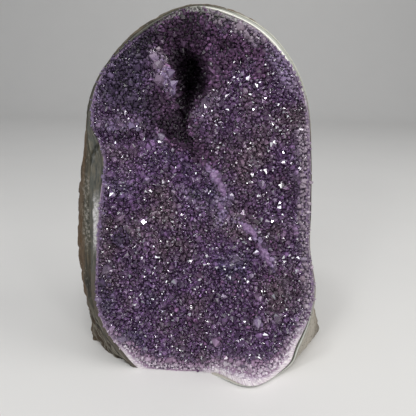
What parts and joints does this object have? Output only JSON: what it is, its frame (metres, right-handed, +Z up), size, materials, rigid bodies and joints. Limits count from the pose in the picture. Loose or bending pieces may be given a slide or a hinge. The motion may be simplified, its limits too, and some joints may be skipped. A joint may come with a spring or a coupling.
{
  "type": "amethyst cluster",
  "caption": "Arched piece of cut amethyst geode: a dense purple druse with a deep pocket, banded by agate in a rough basalt rind, standing on its flat sawn base.",
  "frame": {"origin": "middle of the footprint's box, on the flat sawn base", "axes": "+Z up, the crystal face towards -Y, +X to the right of someone who looks at that face"},
  "size_m": [0.1821, 0.115, 0.2332],
  "materials": {
    "amethyst": "gloss",
    "agate": "satin",
    "basalt": "matte"
  },
  "bodies": {
    "root": {"amethyst_crust": "amethyst", "agate_lining": "agate", "basalt_rind": "basalt"}
  },
  "joints": []
}
